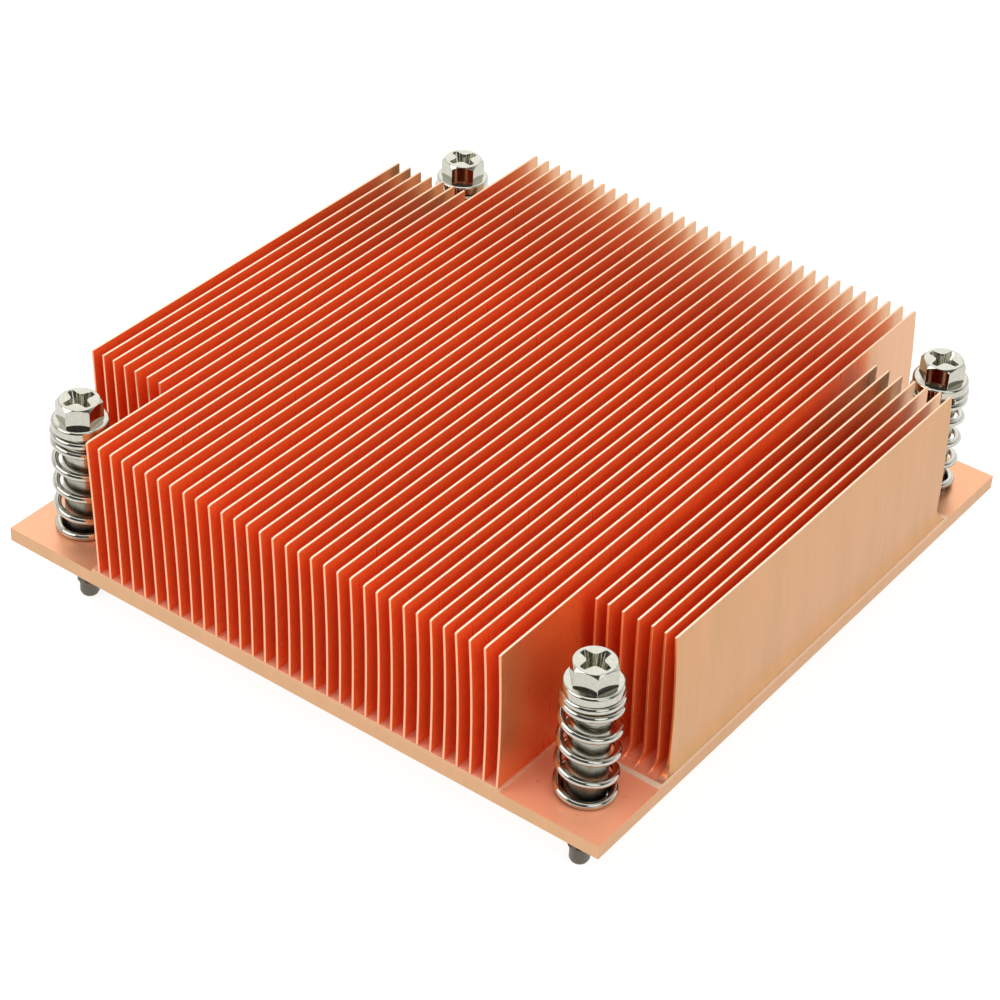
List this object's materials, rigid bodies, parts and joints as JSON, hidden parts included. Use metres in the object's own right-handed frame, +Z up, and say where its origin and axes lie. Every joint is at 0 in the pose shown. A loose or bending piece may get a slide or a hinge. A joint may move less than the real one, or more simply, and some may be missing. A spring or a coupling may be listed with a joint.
{
  "type": "passive server cpu heatsink",
  "caption": "Low copper heatsink for a server processor: thin skived fins on a square plate, cut back at the corners for captive spring screws.",
  "frame": {"origin": "centre of the plate's underside, the flat face that meets the processor", "axes": "+X across the fins, +Y along the fins towards the rear, +Z up from the processor"},
  "size_m": [0.088, 0.088, 0.0299],
  "materials": {
    "copper": "bare skived copper, bright and lightly brushed",
    "screw_nickel": "bright nickel plate",
    "spring_wire": "polished nickel-plated spring wire",
    "clip_steel": "satin spring steel"
  },
  "bodies": {
    "root": {"heatsink_body": "copper", "spring_front_left": "spring_wire", "spring_front_right": "spring_wire", "spring_rear_right": "spring_wire", "spring_rear_left": "spring_wire"},
    "clip_front_left": {"retaining_clip_front_left": "clip_steel"},
    "screw_front_left": {"spring_screw_front_left": "screw_nickel"},
    "clip_front_right": {"retaining_clip_front_right": "clip_steel"},
    "screw_front_right": {"spring_screw_front_right": "screw_nickel"},
    "clip_rear_right": {"retaining_clip_rear_right": "clip_steel"},
    "screw_rear_right": {"spring_screw_rear_right": "screw_nickel"},
    "clip_rear_left": {"retaining_clip_rear_left": "clip_steel"},
    "screw_rear_left": {"spring_screw_rear_left": "screw_nickel"}
  },
  "joints": [
    {"name": "press_front_left", "type": "slide", "parent": "root", "child": "clip_front_left", "axis": [0, 0, 1], "range_m": [-0.005, 0], "stiffness_N_per_m": 1500, "deforming": ["spring_front_left"]},
    {"name": "turn_front_left", "type": "hinge", "parent": "clip_front_left", "child": "screw_front_left", "pos_m": [-0.0375, -0.0375, 0], "axis": [0, 0, 1], "continuous": true},
    {"name": "press_front_right", "type": "slide", "parent": "root", "child": "clip_front_right", "axis": [0, 0, 1], "range_m": [-0.005, 0], "stiffness_N_per_m": 1500, "deforming": ["spring_front_right"]},
    {"name": "turn_front_right", "type": "hinge", "parent": "clip_front_right", "child": "screw_front_right", "pos_m": [0.0375, -0.0375, 0], "axis": [0, 0, 1], "continuous": true},
    {"name": "press_rear_right", "type": "slide", "parent": "root", "child": "clip_rear_right", "axis": [0, 0, 1], "range_m": [-0.005, 0], "stiffness_N_per_m": 1500, "deforming": ["spring_rear_right"]},
    {"name": "turn_rear_right", "type": "hinge", "parent": "clip_rear_right", "child": "screw_rear_right", "pos_m": [0.0375, 0.0375, 0], "axis": [0, 0, 1], "continuous": true},
    {"name": "press_rear_left", "type": "slide", "parent": "root", "child": "clip_rear_left", "axis": [0, 0, 1], "range_m": [-0.005, 0], "stiffness_N_per_m": 1500, "deforming": ["spring_rear_left"]},
    {"name": "turn_rear_left", "type": "hinge", "parent": "clip_rear_left", "child": "screw_rear_left", "pos_m": [-0.0375, 0.0375, 0], "axis": [0, 0, 1], "continuous": true}
  ]
}
